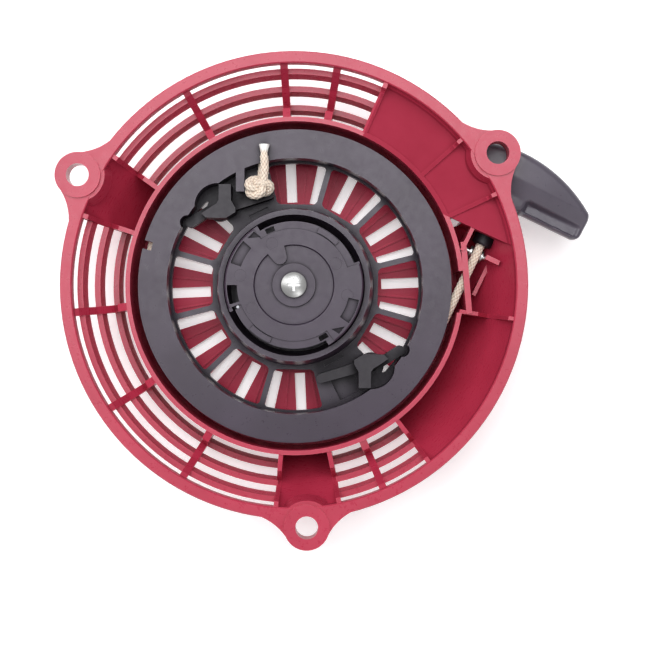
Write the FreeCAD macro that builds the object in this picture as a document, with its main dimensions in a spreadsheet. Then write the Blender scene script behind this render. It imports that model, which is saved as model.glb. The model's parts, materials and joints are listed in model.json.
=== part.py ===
import FreeCAD, Part
import math
import os
import re

import Sketcher

# Recoil starter of a small vertical-shaft engine, engine side up (+Z).
# The origin is on the reel's axis, in the plane of the three mounting bosses.

DIMENSIONS = {
    # Case: rim, lugs and bosses
    "rim_outer": 97.5, "rim_inner": 92.6, "rim_top": -1.0, "rim_bottom": -5.0,
    "bolt_circle": 101.0, "bolt_hole": 4.75, "boss_outer": 9.5, "boss_bottom": -9.5,
    "first_bolt": 33.0, "bolt_step": 120.0, "lug_reach": 13.5, "lug_blend": 23.5,
    # Case: dome, louvres and ribs
    "skin": 2.4, "dome_foot": 72.6, "dome_radius": 235.0, "front": -48.0, "rib_width": 1.6,
    "slat_width": 2.4, "slat_depth": 7.0, "slat_lean": 1.1,
    "louvre_1": 91.8, "louvre_1_top": -11.0,
    "louvre_2": 86.1, "louvre_2_top": -22.0,
    "louvre_3": 79.6, "louvre_3_top": -33.0,
    # Case: drum wall, front plate and post
    "drum_outer": 71.9, "drum_inner": 70.0, "drum_top": -14.0,
    "slot_width": 4.5, "slot_start": 38.0, "slot_end": 62.0, "slot_step": 15.0,
    "first_slot": 2.5, "plate_rib": 0.7, "plate_rib_high": 0.9,
    "post_foot": 11.0, "post_shoulder": -32.3, "post_radius": 8.0, "post_top": -2.5,
    "pilot_radius": 2.5, "pilot_end": -24.0,
    # Case: bay for the grip and rope exit
    "shelf_high": -8.7, "shelf_low": -15.0, "shelf_skin": 2.2, "shelf_rib_rise": 1.1,
    "bay_start": 55.2, "bay_near": 57.0, "exit_low_wall": -27.0, "shelf_from": 8.0, "shelf_to": 65.5,
    "chord_x": 75.4, "chord_y": -11.6, "chord_turn": 94.7, "chord_length": 30.6,
    "left_wall_near": 44.6, "left_wall_far": 56.5, "left_wall_side": -56.4,
    "right_wall_near": 30.5, "right_wall_far": 50.4, "right_wall_side": -71.9,
    "stub_near": 45.8, "stub_far": 47.8, "stub_side": -67.8, "wall": 1.6,
    # Rope
    "rope": 2.0, "rope_angle": 64.05, "rope_offset": 64.0, "rope_level": -21.4, "hole_gap": 0.35,
    "bush_near": 50.8, "bush_far": 59.5, "bush_radius": 4.4, "bush_flange": 6.2,
    "roller_along": 46.8, "roller_radius": 2.3, "roller_length": 6.0, "roller_rim": 2.8,
    "pin_near": -69.8, "pin_far": -56.9,
    "pin_radius": 1.2, "running_gap": 0.05,
    # Reel
    "reel_outer": 66.9, "reel_face": -17.0, "reel_flange": 2.2, "reel_core": 58.3,
    "reel_rim_inner": 54.7, "groove_width": 12.2, "web_top": -30.0, "web_bottom": -33.6,
    "hub_outer": 33.5, "hub_inner": 31.2, "hub_front": -44.2, "spring_roof": -32.0,
    "hub_floor": -29.5, "hub_top": -4.0, "hub_lip_outer": 31.8, "hub_lip_inner": 29.6,
    "sleeve_outer": 11.5, "sleeve_top": -5.0,
    "window_inner": 37.2, "window_outer": 53.8, "spoke": 2.4, "window_step": 30.0,
    "window_corner": 2.6, "window_tip": 1.2, "reel_turn": 149.0,
    "knot_at": 104.6, "knot_entry": -20.9, "knot_x": -15.0, "knot_y": 42.6, "knot_z": -17.4,
    "knot_turn": 25.0, "tail_x": -12.9, "tail_y": 44.5, "tail_z": -14.8, "tail_length": 15.6,
    # Pawls
    "pawl_circle": 47.4, "pawl_at": 134.0, "pawl_turn": 13.0, "pawl_journal": 3.0,
    "pawl_bottom": -29.6, "pawl_arm_top": -23.0, "pawl_top": -16.8, "pawl_boss": 5.6,
    "pawl_reach": 9.9, "relief_radius": 3.1, "relief_circle": 53.4, "relief_ahead": 15.4,
    "tongue_left": -25.1, "tongue_right": -21.5, "tongue_near": 40.4, "tongue_far": 51.5,
    "hub_slot_half": 4.6, "floor_recess": 1.4, "dish_at": 297.0, "notch_at": 164.5,
    "notch_half": 1.8, "notch_deep": 2.4,
    # Recoil spring
    "spring_inner": 12.2, "spring_outer": 30.6, "spring_pitch": 1.75, "spring_leaf": 0.5,
    "spring_low": -43.2, "spring_high": -32.8,
    # Guide and its fastening
    "guide_outer": 28.8, "guide_bottom": -2.3, "guide_top": 1.6, "guide_dish": 16.3,
    "guide_dish_top": 0.6, "guide_waist": 26.4, "guide_band": 23.2,
    "mark_radius": 2.6, "mark_deep": 0.18, "bar_rise": 0.35, "tongue_circle": 12.9,
    "collar_outer": 6.2, "collar_inner": 2.7, "washer_outer": 8.9,
    "washer_low": 0.9, "washer_thick": 1.0, "screw_shank": 2.45, "screw_end": -20.0,
    "screw_head": 5.2, "screw_head_high": 3.4, "friction_wire": 0.6, "friction_level": -3.7,
    "friction_reach": 25.0, "friction_tip": 4.6,
    # Grip
    "grip_half": 36.6, "grip_near": 69.7, "grip_far": 93.9, "grip_crown": 64.5,
    "grip_neck": 60.8, "grip_middle": 9.2, "grip_end": 4.4, "grip_neck_half": 7.0,
    "grip_corner": 3.9, "knot_well": 6.4, "well_floor": 80.5,
}

doc = FreeCAD.newDocument("RecoilStarter")
sheet = doc.addObject("Spreadsheet::Sheet", "Sheet")
nodes = []
UP = FreeCAD.Vector(0, 0, 1)


def fill_sheet():
    """Write every driving dimension to the sheet, each with its alias."""
    for row, (alias, value) in enumerate(DIMENSIONS.items(), start=1):
        sheet.set(f"A{row}", alias.replace("_", " "))
        sheet.set(f"B{row}", str(value))
        sheet.setAlias(f"B{row}", alias)
    doc.recompute()


def cells(text):
    """Point each dimension name in an expression at its cell."""
    def cell(match):
        return "Sheet." + match[0] if match[0] in DIMENSIONS else match[0]
    return re.sub(r"[a-z][a-z_0-9]*", cell, str(text))


def value(text):
    """The present value of an expression, as a number."""
    return float(sheet.evalExpression(cells(text)))


def bind(thing, **settings):
    """Bind properties of a document object to expressions."""
    for name, text in settings.items():
        thing.setExpression(name.replace("__", "."), cells(text))


def stand(thing, x="0", y="0", z="0", turn="0"):
    """Place an object at x, y, z, turned about the vertical."""
    start = FreeCAD.Vector(value(x), value(y), value(z))
    thing.Placement = FreeCAD.Placement(start, FreeCAD.Rotation(UP, value(turn)))
    bind(thing, Placement__Base__x=x, Placement__Base__y=y, Placement__Base__z=z)
    if value(turn) != 0:
        bind(thing, Placement__Rotation__Angle=turn)
    return thing


# ---------------------------------------------------------------- sketches

def constrain(sketch, kind, *where):
    """Add a constraint whose last item is an expression."""
    *place, text = where
    number = sketch.addConstraint(Sketcher.Constraint(kind, *place, value(text)))
    sketch.setExpression(f"Constraints[{number}]", cells(text))


def outline(sketch, corners):
    """Closed outline through (x, y) corners.

    A third item is the radius of an arc that leads to the corner, turning left.
    A minus sign makes it turn right.
    """
    points = [FreeCAD.Vector(value(c[0]), value(c[1]), 0) for c in corners]
    first = sketch.GeometryCount
    count = len(corners)
    ends = []
    for index in range(count):
        start, end = points[index], points[(index + 1) % count]
        corner = corners[(index + 1) % count]
        if len(corner) == 2:
            sketch.addGeometry(Part.LineSegment(start, end), False)
            ends.append((1, 2))
            continue
        radius = value(corner[2])
        left = radius > 0
        chord = end - start
        across = FreeCAD.Vector(-chord.y, chord.x, 0).normalize() * (1 if left else -1)
        height = math.sqrt(radius ** 2 - (chord.Length / 2) ** 2)
        centre = (start + end) * 0.5 + across * height
        begin, finish = (start, end) if left else (end, start)
        angle_1 = math.atan2(begin.y - centre.y, begin.x - centre.x)
        angle_2 = math.atan2(finish.y - centre.y, finish.x - centre.x)
        circle = Part.Circle(centre, UP, abs(radius))
        sketch.addGeometry(Part.ArcOfCircle(circle, angle_1, angle_2), False)
        ends.append((1, 2) if left else (2, 1))
    for index in range(count):
        here, following = first + index, first + (index + 1) % count
        start, end = ends[index][0], ends[index][1]
        sketch.addConstraint(Sketcher.Constraint(
            "Coincident", here, end, following, ends[(index + 1) % count][0]))
        constrain(sketch, "DistanceX", here, start, corners[index][0])
        constrain(sketch, "DistanceY", here, start, corners[index][1])
        leads_to = corners[(index + 1) % count]
        if len(leads_to) == 3:
            constrain(sketch, "Radius", here, f"abs({leads_to[2]})")


def ring(sketch, x, y, radius):
    """Circle at x, y."""
    centre = FreeCAD.Vector(value(x), value(y), 0)
    number = sketch.addGeometry(Part.Circle(centre, UP, value(radius)), False)
    constrain(sketch, "DistanceX", number, 3, x)
    constrain(sketch, "DistanceY", number, 3, y)
    constrain(sketch, "Radius", number, radius)


def upright_sketch(name, corners):
    """Free sketch in the XZ plane: radius across, height up."""
    sketch = doc.addObject("Sketcher::SketchObject", name)
    sketch.Placement = FreeCAD.Placement(
        FreeCAD.Vector(), FreeCAD.Rotation(FreeCAD.Vector(1, 0, 0), 90))
    outline(sketch, corners)
    return sketch


def body_sketch(body, role, name):
    """Sketch attached to one of a body's own origin planes."""
    sketch = body.newObject("Sketcher::SketchObject", name)
    support = [f for f in body.Origin.OriginFeatures if f.Role == role][0]
    sketch.AttachmentSupport = [(support, "")]
    sketch.MapMode = "FlatFace"
    return sketch


# ---------------------------------------------------------------- solids

def swept_ring(name, sketch, start, sweep):
    """Turn a free sketch about the axis through part of a circle."""
    turned = doc.addObject("Part::Revolution", name)
    turned.Source = sketch
    turned.Axis = UP
    turned.Base = FreeCAD.Vector()
    turned.Solid = True
    turned.Angle = value(sweep)
    bind(turned, Angle=sweep)
    return stand(turned, turn=start)


def block(name, low, high, turn="0"):
    """Box between two corners given in a frame turned about the axis."""
    box = doc.addObject("Part::Box", name)
    bind(box, Length=f"{high[0]} - ({low[0]})", Width=f"{high[1]} - ({low[1]})",
         Height=f"{high[2]} - ({low[2]})")
    x = f"({low[0]}) * cos({turn}) - ({low[1]}) * sin({turn})"
    y = f"({low[0]}) * sin({turn}) + ({low[1]}) * cos({turn})"
    return stand(box, x, y, low[2], turn)


def sector(name, inner, outer, low, high, start, end):
    """Part of a flat ring between two radii, two heights and two angles."""
    section = upright_sketch(name + "Section", [
        (inner, low), (outer, low), (outer, high), (inner, high)])
    return swept_ring(name, section, start, f"{end} - ({start})")


def rod(name, radius, low, high, x="0", y="0"):
    """Upright cylinder."""
    post = doc.addObject("Part::Cylinder", name)
    bind(post, Radius=radius, Height=f"{high} - ({low})")
    return stand(post, x, y, low)


def lying_rod(name, radius, start, end, across="-rope_offset", level="rope_level"):
    """Cylinder along the rope's line, between two distances from its foot point."""
    bar = doc.addObject("Part::Cylinder", name)
    bind(bar, Radius=radius, Height=f"{end} - ({start})")
    spin = FreeCAD.Rotation(UP, value("rope_angle"))
    tip = FreeCAD.Rotation(FreeCAD.Vector(0, 1, 0), 90)
    bar.Placement = FreeCAD.Placement(FreeCAD.Vector(), spin * tip)
    bind(bar, Placement__Base__x=f"({start}) * cos(rope_angle) - ({across}) * sin(rope_angle)",
         Placement__Base__y=f"({start}) * sin(rope_angle) + ({across}) * cos(rope_angle)",
         Placement__Base__z=level)
    return bar


def cross_rod(name, radius, along, start, end, level):
    """Cylinder square to the rope, level, between two sideways distances."""
    bar = doc.addObject("Part::Cylinder", name)
    bind(bar, Radius=radius, Height=f"{end} - ({start})")
    spin = FreeCAD.Rotation(UP, value("rope_angle"))
    tip = FreeCAD.Rotation(FreeCAD.Vector(1, 0, 0), -90)
    bar.Placement = FreeCAD.Placement(FreeCAD.Vector(), spin * tip)
    bind(bar, Placement__Base__x=f"({along}) * cos(rope_angle) - ({start}) * sin(rope_angle)",
         Placement__Base__y=f"({along}) * sin(rope_angle) + ({start}) * cos(rope_angle)",
         Placement__Base__z=level)
    return bar


def fuse(name, parts):
    joined = doc.addObject("Part::MultiFuse", name)
    joined.Shapes = parts
    joined.Refine = False
    return joined


def cut(name, base, tool):
    rest = doc.addObject("Part::Cut", name)
    rest.Base = base
    rest.Tool = tool
    rest.Refine = False
    return rest


def common(name, parts):
    shared = doc.addObject("Part::MultiCommon", name)
    shared.Shapes = parts
    return shared


def new_body(label):
    return doc.addObject("PartDesign::Body", label)


def revolved(body, corners, name="Profile"):
    """Full turn of an upright outline about the body's axis."""
    sketch = body_sketch(body, "XZ_Plane", name)
    outline(sketch, corners)
    turned = body.newObject("PartDesign::Revolution", name + "Turned")
    turned.Profile = sketch
    turned.ReferenceAxis = (sketch, ["V_Axis"])
    turned.Angle = 360
    return turned


def padded(body, name, corners, low, high):
    """Pad an outline in the level plane between two heights."""
    sketch = body_sketch(body, "XY_Plane", name)
    sketch.AttachmentOffset = FreeCAD.Placement(
        FreeCAD.Vector(0, 0, value(low)), FreeCAD.Rotation())
    bind(sketch, AttachmentOffset__Base__z=low)
    outline(sketch, corners)
    pad = body.newObject("PartDesign::Pad", name + "Pad")
    pad.Profile = sketch
    bind(pad, Length=f"{high} - ({low})")
    return pad


def keep(node, label):
    """List a finished object as one of the assembly's pieces."""
    node.Label = label
    nodes.append(node)
    return node


# ---------------------------------------------------------------- case

LOUVRED = [(66, 144), (162.5, 265), (282, 307)]
CLOSED = [(144, 162.5), (265, 282), (307, 381)]
LOUVRE_RIBS = [78.8, 92.7, 119.2, 187, 213.7, 239.8, 293.7]
EDGE_RIBS = [65.5, 144.5, 161.7, 265.3, 281.7, 307.3]
POCKET_RIBS = [24.3, 41, 351.3]


def dome_skin():
    """Closed stretches of the dome between the louvred ones."""
    section = upright_sketch("DomeSection", [
        ("rim_outer - 0.6 - skin * 1.1", "rim_bottom + 1"), ("rim_outer - 0.6", "rim_bottom + 1"),
        ("rim_outer - 0.6", "rim_bottom"), ("dome_foot", "front", "-dome_radius"),
        ("dome_foot - skin * 1.1", "front"),
        ("rim_outer - 0.6 - skin * 1.1", "rim_bottom", "dome_radius")])
    skins = []
    for number, (start, end) in enumerate(CLOSED, start=1):
        skins.append(swept_ring(f"DomeSkin{number}", section, start, end - start))
    return fuse("DomeSkins", skins)


def louvres():
    """Three stepped slats in each louvred stretch."""
    rings = []
    for slat in (1, 2, 3):
        outer, top = f"louvre_{slat}", f"louvre_{slat}_top"
        section = upright_sketch(f"SlatSection{slat}", [
            (f"{outer} - slat_width", top), (f"{outer} - slat_width - slat_lean", f"{top} - slat_depth"),
            (f"{outer} - slat_lean", f"{top} - slat_depth"), (outer, top)])
        for number, (start, end) in enumerate(LOUVRED, start=1):
            rings.append(swept_ring(f"Slat{slat}{number}", section, start, end - start))
    return rings


def ribs():
    """Radial ribs between the drum wall and the rim."""
    louvred = upright_sketch("LouvreRib", [
        ("drum_inner + 1", "front"), ("rim_inner + 2", "front"), ("rim_inner + 2", "rim_bottom + 1"),
        ("rim_inner - 1.5", "-7"), ("louvre_2 - 1", "louvre_2_top + 2.5"),
        ("louvre_3 - 1", "louvre_3_top + 5"), ("drum_outer + 4", "drum_top - 2.5"),
        ("drum_inner + 1", "drum_top - 0.6")])
    plain = upright_sketch("PlainRib", [
        ("drum_inner + 1", "front"), ("rim_inner + 2", "front"), ("rim_inner + 2", "rim_top - 1"),
        ("rim_inner - 2.2", "rim_top - 1"), ("rim_inner - 5", "-16"),
        ("drum_outer + 12", "-25", "-22"), ("drum_outer + 7", "drum_top - 1.2"),
        ("drum_inner + 1", "drum_top - 0.6")])
    group = []
    for section, angles, width in ((louvred, LOUVRE_RIBS, "rib_width * 2"),
                                   (plain, EDGE_RIBS, "rib_width * 1.2"),
                                   (plain, POCKET_RIBS, "rib_width")):
        for angle in angles:
            group.append(thin_rib(f"Rib{int(angle)}", section, width, angle))
    return group


def lugs():
    """Three lugs that blend out of the rim, each with its boss."""
    plate = new_body("LugPlate")
    sketch = body_sketch(plate, "XY_Plane", "LugOutline")
    bind(sketch, AttachmentOffset__Base__z="rim_bottom")
    far = "(rim_outer + lug_blend)"
    root = "(rim_outer - 0.7)"
    reach = "boss_outer / (boss_outer + lug_blend)"
    touch_x = f"(bolt_circle + ({far} * cos(lug_reach) - bolt_circle) * {reach})"
    touch_y = f"({far} * sin(lug_reach) * {reach})"
    outline(sketch, [
        ("rim_inner", f"-{far} * sin(lug_reach) * 0.6"),
        (f"{root} * cos(lug_reach)", f"-{root} * sin(lug_reach)"),
        (touch_x, f"-{touch_y}", "-lug_blend"),
        (touch_x, touch_y, "boss_outer"),
        (f"{root} * cos(lug_reach)", f"{root} * sin(lug_reach)", "-lug_blend"),
        ("rim_inner", f"{far} * sin(lug_reach) * 0.6")])
    pad = plate.newObject("PartDesign::Pad", "LugPad")
    pad.Profile = sketch
    bind(pad, Length="rim_top - rim_bottom")
    pieces = []
    for number in range(3):
        turn = f"first_bolt + {number} * bolt_step"
        copy = doc.addObject("Part::Compound", f"Lug{number + 1}")
        copy.Links = [plate]
        pieces.append(stand(copy, turn=turn))
        x, y = f"bolt_circle * cos({turn})", f"bolt_circle * sin({turn})"
        pieces.append(rod(f"Boss{number + 1}", "boss_outer", "boss_bottom", "0", x, y))
    return pieces


def bolt_holes():
    holes = []
    for number in range(3):
        turn = f"first_bolt + {number} * bolt_step"
        x, y = f"bolt_circle * cos({turn})", f"bolt_circle * sin({turn})"
        holes.append(rod(f"BoltHole{number + 1}", "bolt_hole", "boss_bottom - 5", "5", x, y))
    return holes


def drum():
    """Drum wall round the reel, the front plate and the post, in one section."""
    wall = upright_sketch("DrumSection", [
        ("drum_inner", "front + skin / 2"), ("drum_outer", "front + skin / 2"),
        ("drum_outer", "drum_top"), ("drum_inner", "drum_top")])
    plate = upright_sketch("FrontSection", [
        ("0", "front"), ("dome_foot", "front"), ("dome_foot", "front + skin"),
        ("post_foot + 2", "front + skin"), ("post_foot", "front + skin + 2"),
        ("post_foot", "post_shoulder"), ("post_radius", "post_shoulder"),
        ("post_radius", "post_top - 0.6"), ("post_radius - 0.6", "post_top"), ("0", "post_top")])
    return [swept_ring("DrumWall", wall, "5.2", "345.55"), swept_ring("FrontPlate", plate, "0", "360")]


def air_slots():
    slots = []
    for number in range(24):
        slots.append(block(f"AirSlot{number + 1}", ("slot_start", "-slot_width / 2", "front - 1"),
                           ("slot_end", "slot_width / 2", "front + skin + 0.5"),
                           f"first_slot + {number} * slot_step"))
    return slots


def front_ribs():
    """Thin stiffening ribs on the front plate, one between each pair of slots."""
    lines = []
    for number in range(24):
        lines.append(block(f"FrontRib{number + 1}",
                           ("slot_start - 2", "-plate_rib / 2", "front + skin / 2"),
                           ("drum_inner + 1", "plate_rib / 2", "front + skin + plate_rib_high"),
                           f"first_slot + ({number} + 0.5) * slot_step"))
    return lines


def boss_feet():
    """Flared foot of each boss, blending it into the inside of the rim."""
    feet = []
    for number in range(3):
        turn = f"first_bolt + {number} * bolt_step"
        foot = doc.addObject("Part::Cone", f"BossFoot{number + 1}")
        bind(foot, Radius1="boss_outer + 3.6", Radius2="boss_outer + 1.6",
             Height="rim_top - 0.4 - boss_bottom")
        feet.append(stand(foot, f"bolt_circle * cos({turn})", f"bolt_circle * sin({turn})",
                          "boss_bottom"))
    return feet


def grip_bay_shelf():
    """Sloped roof over the bay of the parked grip, with its three ribs."""
    near, far = "drum_inner + 1", "rim_inner - 1.2"
    section = upright_sketch("ShelfSection", [
        (near, "shelf_low - shelf_skin"), (far, "shelf_high - shelf_skin"),
        ("rim_outer - 1.2", "rim_bottom - 3"), ("rim_outer - 1.2", "rim_bottom - 0.5"),
        ("rim_inner + 0.4", "rim_bottom - 0.5"), (far, "shelf_high"), (near, "shelf_low")])
    ring_part = swept_ring("ShelfRing", section, "shelf_from", "shelf_to - shelf_from")
    rib = upright_sketch("ShelfRibSection", [
        (near, "shelf_low - 1"), (far, "shelf_high - 1"), ("rim_inner + 1", "rim_bottom - 1"),
        ("rim_inner + 1", "rim_top - 1"), ("rim_inner - 1.6", "rim_top - 1.4"),
        ("rim_inner - 5.6", "shelf_high - 1.1 + shelf_rib_rise", "-8"),
        ("drum_outer + 4.5", "shelf_low + 1.4 + shelf_rib_rise"), (near, "drum_top - 0.1")])
    group = [ring_part]
    for angle, width in ((24.3, "rib_width"), (41, "rib_width"), (65.5, "rib_width * 1.2")):
        group.append(thin_rib(f"ShelfRib{int(angle)}", rib, width, angle))
    trim = block("ShelfTrim", ("0", "-120", "front"), ("bay_start", "20", "5"), "rope_angle")
    return cut("Shelf", fuse("ShelfGroup", group), trim)


def thin_rib(name, section, width, turn):
    """Flat rib of the given upright section, centred on its angle."""
    rib = doc.addObject("Part::Extrusion", name)
    rib.Base = section
    rib.DirMode = "Normal"
    rib.Symmetric = True
    rib.Solid = True
    bind(rib, LengthFwd=width)
    return stand(rib, turn=turn)


def exit_walls():
    """Walls round the rope's way out, in the rope's own frame."""
    chord = doc.addObject("Part::Box", "ChordWall")
    bind(chord, Length="chord_length", Width="skin", Height="drum_top - front - skin / 2")
    stand(chord, "chord_x", "chord_y", "front + skin / 2", "chord_turn")
    under_shelf = upright_sketch("UnderShelf", [
        ("drum_inner - 8", "front"), ("rim_inner + 2", "front"), ("rim_inner + 2", "shelf_high"),
        ("rim_inner - 1.2", "shelf_high"), ("drum_inner + 1", "shelf_low"),
        ("drum_inner - 8", "shelf_low")])
    cross = common("CrossWall", [
        block("CrossBlock", ("bay_start", "-78", "front"), ("bay_near", "-52", "rim_bottom"),
              "rope_angle"),
        swept_ring("UnderShelfRing", under_shelf, "0", "70")])
    left = block("LeftWall", ("left_wall_near", "left_wall_side - wall", "front"),
                 ("left_wall_far", "left_wall_side", "drum_top + 1"), "rope_angle")
    right = block("RightWall", ("right_wall_near", "right_wall_side", "front"),
                  ("right_wall_far", "right_wall_side + wall", "exit_low_wall"), "rope_angle")
    stub = block("PinStub", ("stub_near", "stub_side - 6.2", "front"),
                 ("stub_far", "stub_side", "drum_top - 1"), "rope_angle")
    return [chord, cross, left, right, stub]


def recoil_case():
    """The moulded case: everything above, joined and then cut."""
    rim = upright_sketch("RimSection", [
        ("rim_inner", "rim_bottom - 2"), ("rim_outer - 1", "rim_bottom - 2"),
        ("rim_outer", "rim_bottom - 1"), ("rim_outer", "rim_top - 0.5"),
        ("rim_outer - 0.5", "rim_top"), ("rim_inner + 0.5", "rim_top"),
        ("rim_inner", "rim_top - 0.5")])
    envelope = upright_sketch("EnvelopeSection", [
        ("0", "front"), ("0", "0"), ("rim_outer - 0.6", "0"), ("rim_outer - 0.6", "rim_bottom"),
        ("dome_foot", "front", "-dome_radius")])
    dome = swept_ring("Envelope", envelope, "0", "360")
    inside = common("InnerWalls", [fuse("WallGroup", ribs() + exit_walls() + boss_feet()), dome])
    under = "shelf_skin / 2"
    below = upright_sketch("BaySection", [
        ("60", "front - 1"), ("130", "front - 1"), ("130", f"rim_bottom - {under}"),
        ("rim_inner", f"rim_bottom - 1 - {under}"), ("rim_inner - 1.2", f"shelf_high - {under}"),
        ("drum_inner + 1", f"shelf_low - {under}"), ("60", f"shelf_low - {under}")])
    bay = common("GripBay", [
        block("BayBlock", ("bay_near", "-115", "front - 1"), ("140", "0", "0"), "rope_angle"),
        swept_ring("BayRing", below, "-10", "80")])
    lowered = cut("LoweredWalls", fuse("SkinAndWalls", [dome_skin(), inside]), bay)
    shell = fuse("CaseSolid", [swept_ring("Rim", rim, "0", "360"), lowered, grip_bay_shelf()]
                 + louvres() + lugs() + drum() + front_ribs())
    lead = "rope + hole_gap + 0.6"
    rope_window = lying_rod("RopeWindow", lead, "20", "46")
    rope_slot = block("RopeSlot", ("20", f"-rope_offset - ({lead})", "rope_level"),
                      ("46", f"-rope_offset + {lead}", "drum_top - 4"), "rope_angle")
    bush_hole = lying_rod("BushHole", "bush_radius", "50", "62")
    tools = [rope_window, rope_slot, bush_hole,
             rod("PilotHole", "pilot_radius", "pilot_end", "post_top + 1"),
             cross_rod("PinHole", "pin_radius", "roller_along", "pin_near", "pin_far",
                       "rope_level - rope - roller_radius")]
    return keep(cut("Case", shell, fuse("CaseTools", tools + air_slots() + bolt_holes())),
                "recoil_case")


# ---------------------------------------------------------------- rope exit

def rope_guide_bush():
    body = new_body("rope_guide_bush")
    revolved(body, [
        ("rope + hole_gap", "bush_near"), ("bush_radius - 0.6", "bush_near"),
        ("bush_radius", "bush_near + 0.8"), ("bush_radius", "57.1"), ("bush_flange", "57.1"),
        ("bush_flange", "58.6"), ("bush_radius", "bush_far"), ("rope + hole_gap", "bush_far")])
    lay_along_rope(body)
    return keep(body, "rope_guide_bush")


def lay_along_rope(thing):
    """Turn a piece drawn about Z so that its axis is the rope's line."""
    spin = FreeCAD.Rotation(UP, value("rope_angle"))
    tip = FreeCAD.Rotation(FreeCAD.Vector(0, 1, 0), 90)
    thing.Placement = FreeCAD.Placement(FreeCAD.Vector(), spin * tip)
    bind(thing, Placement__Base__x="rope_offset * sin(rope_angle)",
         Placement__Base__y="-rope_offset * cos(rope_angle)", Placement__Base__z="rope_level")
    return thing


def rope_roller():
    """Flanged steel roller that carries the rope where it bends out of the drum."""
    body = new_body("rope_roller")
    half = "roller_length / 2"
    revolved(body, [
        ("pin_radius + running_gap", f"-{half}"), ("roller_rim", f"-{half}"),
        ("roller_rim", f"-{half} + 0.8"), ("roller_radius", f"-{half} + 1.6"),
        ("roller_radius", f"{half} - 1.6"), ("roller_rim", f"{half} - 0.8"),
        ("roller_rim", half), ("pin_radius + running_gap", half)])
    spin = FreeCAD.Rotation(UP, value("rope_angle"))
    tip = FreeCAD.Rotation(FreeCAD.Vector(1, 0, 0), -90)
    body.Placement = FreeCAD.Placement(FreeCAD.Vector(), spin * tip)
    bind(body, Placement__Base__x="roller_along * cos(rope_angle) + rope_offset * sin(rope_angle)",
         Placement__Base__y="roller_along * sin(rope_angle) - rope_offset * cos(rope_angle)",
         Placement__Base__z="rope_level - rope - roller_radius")
    return keep(body, "rope_roller")


def roller_pin():
    pin = cross_rod("RollerPin", "pin_radius", "roller_along", "pin_near", "pin_far",
                    "rope_level - rope - roller_radius")
    return keep(pin, "roller_pin")


# ---------------------------------------------------------------- reel

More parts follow.
